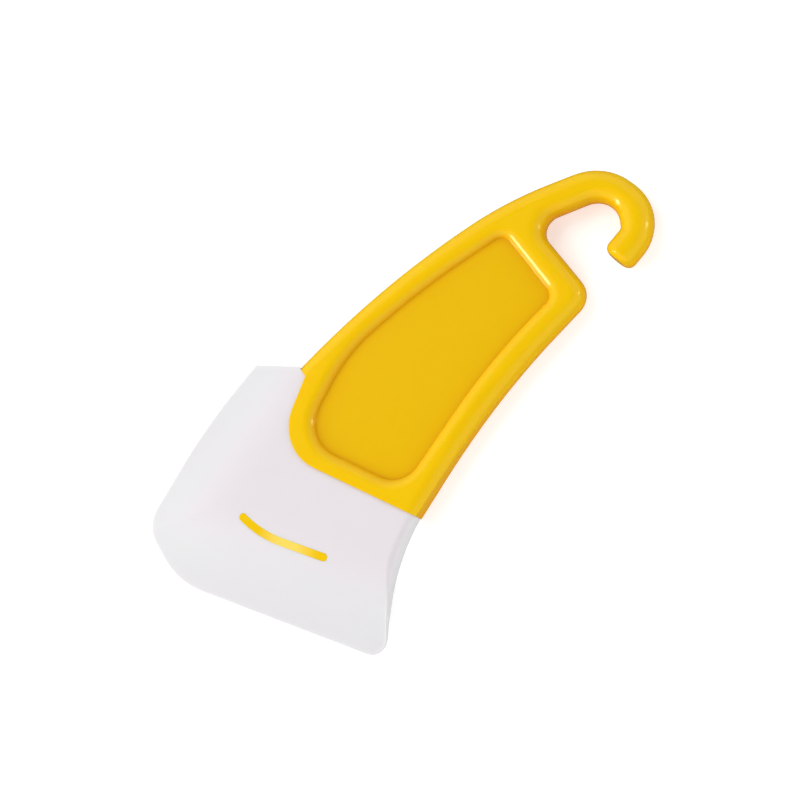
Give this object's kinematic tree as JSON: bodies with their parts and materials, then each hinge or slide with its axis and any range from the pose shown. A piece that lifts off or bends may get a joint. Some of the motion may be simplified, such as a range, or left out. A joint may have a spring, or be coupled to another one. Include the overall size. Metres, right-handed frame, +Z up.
{
  "type": "hand scraper with silicone blade",
  "caption": "Flat hand scraper: rigid yellow grip with a hanging hook, a thumb pocket in each face and a tapering white silicone blade moulded over its tongue.",
  "frame": {"origin": "the middle of the bottom of the whole tool's box, with the tool lying flat", "axes": "+X from the blade to the hook, +Y towards the long side of the blade, +Z up through the thickness"},
  "size_m": [0.1588, 0.0791, 0.0088],
  "materials": {
    "handle_plastic": "glossy moulded yellow plastic",
    "blade_silicone": "satin white silicone"
  },
  "bodies": {
    "root": {"handle": "handle_plastic", "blade": "blade_silicone"}
  },
  "joints": []
}
